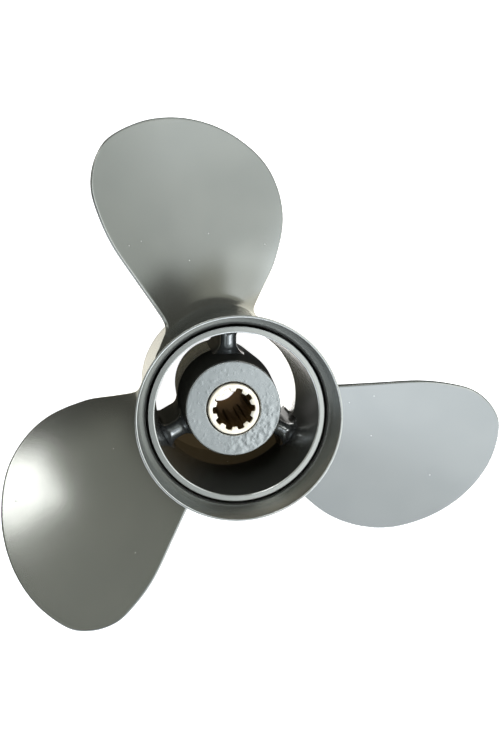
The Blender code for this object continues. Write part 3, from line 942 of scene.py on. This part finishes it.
bush_rear = HUB_REAR_Z - HUB_REAR_WALL - HAIRLINE
bush_corners = [
    (SLEEVE_OUTSIDE + 0.1 * MM, BUSH_FRONT_Z, 0.5 * MM),
    (blend(SLEEVE_OUTSIDE, HUB_BORE, 0.5), BUSH_FRONT_Z + 0.6 * MM, 2.0 * MM),
    (HUB_BORE - 0.1 * MM, BUSH_FRONT_Z, 0.5 * MM),
    (HUB_BORE - 0.1 * MM, bush_rear, 0.4 * MM),
    (SLEEVE_OUTSIDE + 0.1 * MM, bush_rear, 0.4 * MM),
]
bush_profile = short_steps(rounded(bush_corners), 4 * MM)
points, faces = turn_profile(bush_profile, 96)
bush = make_piece("moulded_bush", points, faces, black_rubber, edge=[0.0] * len(points))
finish_piece(bush, "black_rubber", "rubber_bush")

# %% [markdown]
# The sleeve slides on the propeller shaft, and its ten splines take the torque. The outline of the
# splined bore is a closed path of corners, so the same rounding helper as for the turned profiles
# makes it. Rings of that path, a little wider at both mouths, give the chamfers.

# %% Splined sleeve
TEETH = 10
FIRST_TOOTH_DEG = 21.0
TOOTH_TOP_DEG = 14.0
TOOTH_FOOT_DEG = 20.0
TOOTH_TOP = 7.4 * MM
TOOTH_FOOT = 8.8 * MM
SPLINE_FRONT_Z = 37.5 * MM
PLAIN_BORE = 9.1 * MM


def spline_path():
    corners = []
    for tooth in range(TEETH):
        middle = FIRST_TOOTH_DEG + tooth * 360.0 / TEETH
        gap_middle = middle + 180.0 / TEETH
        for degrees, radius, corner in (
            (middle - TOOTH_TOP_DEG / 2, TOOTH_TOP, 0.22 * MM),
            (middle, TOOTH_TOP * 1.005, 0.0),
            (middle + TOOTH_TOP_DEG / 2, TOOTH_TOP, 0.22 * MM),
            (middle + TOOTH_FOOT_DEG / 2, TOOTH_FOOT, 0.25 * MM),
            (gap_middle, TOOTH_FOOT * 1.012, 0.0),
            (gap_middle + 180.0 / TEETH - TOOTH_FOOT_DEG / 2, TOOTH_FOOT, 0.25 * MM),
        ):
            angle = math.radians(degrees)
            corners.append((radius * math.cos(angle), radius * math.sin(angle), corner))
    return [(x, y) for x, y, _ in rounded(corners, 3)]


path = [Vector(p) for p in spline_path()]


def path_ring(z, widen):
    return [(p.x * (1 + widen / p.length), p.y * (1 + widen / p.length), z) for p in path]


def round_ring(z, radius):
    return [(p.x * radius / p.length, p.y * radius / p.length, z) for p in path]


rear_face = np.linspace(SLEEVE_OUTSIDE - 0.45 * MM, TOOTH_FOOT + 0.55 * MM, 6)
rings = [
    round_ring(SPLINE_FRONT_Z, PLAIN_BORE),
    round_ring(SPLINE_FRONT_Z - 0.4 * MM, PLAIN_BORE + 0.02 * MM),
    round_ring(SLEEVE_FRONT_Z + 0.5 * MM, PLAIN_BORE + 0.02 * MM),
    round_ring(SLEEVE_FRONT_Z, PLAIN_BORE + 0.5 * MM),
    round_ring(SLEEVE_FRONT_Z, SLEEVE_OUTSIDE - 0.4 * MM),
    round_ring(SLEEVE_FRONT_Z + 0.12 * MM, SLEEVE_OUTSIDE - 0.12 * MM),
    round_ring(SLEEVE_FRONT_Z + 0.4 * MM, SLEEVE_OUTSIDE),
    round_ring(blend(SLEEVE_FRONT_Z, SLEEVE_REAR_Z, 0.5), SLEEVE_OUTSIDE),
    round_ring(SLEEVE_REAR_Z - 0.4 * MM, SLEEVE_OUTSIDE),
    round_ring(SLEEVE_REAR_Z - 0.12 * MM, SLEEVE_OUTSIDE - 0.12 * MM),
]
rings += [round_ring(SLEEVE_REAR_Z, radius) for radius in rear_face]
rings += [
    path_ring(SLEEVE_REAR_Z, 0.34 * MM),
    path_ring(SLEEVE_REAR_Z - 0.1 * MM, 0.12 * MM),
    path_ring(SLEEVE_REAR_Z - 0.4 * MM, 0.0),
]
rings += [path_ring(z, 0.0) for z in np.linspace(SLEEVE_REAR_Z - 2 * MM, SPLINE_FRONT_Z + 0.4 * MM, 12)]
rings += [path_ring(SPLINE_FRONT_Z, 0.2 * MM)]
points, faces, last, count = skin_rings(rings)
for j in range(count):
    k = (j + 1) % count
    faces.append((last + j, last + k, k, j))
stain = [1.0 if math.hypot(x, y) < 9.2 * MM and z < SLEEVE_REAR_Z - 0.3 * MM else 0.1 for x, y, z in points]
sleeve = make_piece("brass_sleeve", points, faces, brass, stain=stain)
finish_piece(sleeve, "brass", "splined_sleeve")

# %% [markdown]
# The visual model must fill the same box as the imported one, so both are measured at the end.

# %% Measure and finish
visual_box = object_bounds()
for axis, (low, high, cad_low, cad_high) in zip("xyz", zip(*visual_box, *cad_box)):
    print(axis, "in mm:", round(1000 * (high - low), 2), "packed:", round(1000 * (cad_high - cad_low), 2))
